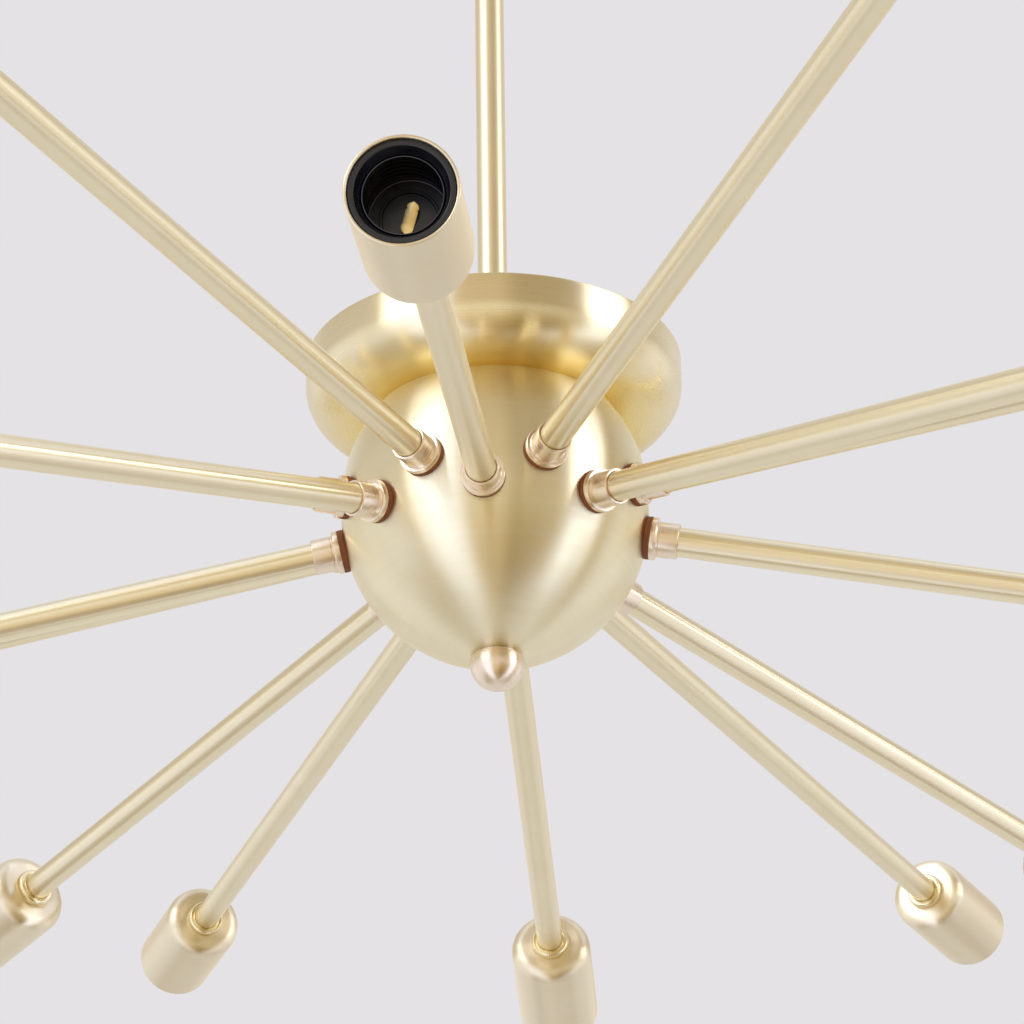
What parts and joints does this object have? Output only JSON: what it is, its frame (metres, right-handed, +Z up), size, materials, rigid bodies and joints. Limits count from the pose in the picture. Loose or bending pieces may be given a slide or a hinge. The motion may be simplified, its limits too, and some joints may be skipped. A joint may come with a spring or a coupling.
{
  "type": "sputnik chandelier",
  "caption": "Ceiling light with straight tubular arms in two staggered rows that radiate from a spun brass hub on a rigid stem, each arm ending in an open screw-lamp cup.",
  "frame": {"origin": "centre of the strap's slot pattern, on the ceiling plane", "axes": "+Z up along the stem, -Y towards the viewer's side, +X to the right, the strap runs along X"},
  "size_m": [1.0758, 1.0758, 0.5262],
  "materials": {
    "tube_brass": "pale brass tube, drawn and lightly polished, lacquered",
    "hub_brass": "pale satin brass, spun and polished, lacquered",
    "cup_brass": "pale matt brass, lacquered",
    "fitting_brass": "turned brass, polished",
    "plain_brass": "plain turned brass",
    "shell_metal": "dark plated thin sheet",
    "insulator": "black moulded phenolic, glossy",
    "fibre": "red-brown vulcanised fibre",
    "steel": "zinc plated"
  },
  "bodies": {
    "ceiling_mount": {"mounting_strap": "steel", "canopy_pan": "hub_brass", "canopy_nipple": "plain_brass", "canopy_nut": "fitting_brass", "swivel_retainer_nut": "plain_brass"},
    "yoke": {"swivel_yoke": "fitting_brass", "swivel_pivot_screw": "steel", "swivel_pivot_nut": "steel"},
    "fixture": {"stem_eye": "fitting_brass", "stem_tube": "tube_brass", "stem_foot": "fitting_brass", "hub_rod": "plain_brass", "dish_pan": "hub_brass", "dish_nut": "plain_brass", "hub_bowl": "hub_brass", "finial_seat_ring": "hub_brass", "finial_cap": "hub_brass", "arm_tube_lower_1": "tube_brass", "arm_tube_lower_2": "tube_brass", "arm_tube_lower_3": "tube_brass", "arm_tube_lower_4": "tube_brass", "arm_tube_lower_5": "tube_brass", "arm_tube_lower_6": "tube_brass", "arm_tube_lower_7": "tube_brass", "arm_tube_lower_8": "tube_brass", "arm_tube_upper_1": "tube_brass", "arm_tube_upper_2": "tube_brass", "arm_tube_upper_3": "tube_brass", "arm_tube_upper_4": "tube_brass", "arm_tube_upper_5": "tube_brass", "arm_tube_upper_6": "tube_brass", "arm_tube_upper_7": "tube_brass", "arm_tube_upper_8": "tube_brass", "arm_gaskets_lower": "fibre", "arm_gaskets_upper": "fibre", "arm_fittings_lower": "fitting_brass", "arm_fittings_upper": "fitting_brass", "arm_locknuts_lower": "plain_brass", "arm_locknuts_upper": "plain_brass", "cup_ring_nuts_lower": "fitting_brass", "cup_ring_nuts_upper": "fitting_brass", "lamp_cups_lower": "cup_brass", "lamp_cups_upper": "cup_brass", "socket_bodies_lower": "insulator", "socket_bodies_upper": "insulator", "screw_shells_lower": "shell_metal", "screw_shells_upper": "shell_metal", "centre_contacts_lower": "plain_brass", "centre_contacts_upper": "plain_brass"}
  },
  "joints": [
    {"name": "canopy_swivel", "type": "hinge", "parent": "ceiling_mount", "child": "yoke", "pos_m": [0, 0, -0.0538], "axis": [0, 0, 1], "range_deg": [-170, 170]},
    {"name": "stem_tilt", "type": "hinge", "parent": "yoke", "child": "fixture", "pos_m": [0, 0, -0.0538], "axis": [0, 1, 0], "range_deg": [-30, 30]}
  ]
}
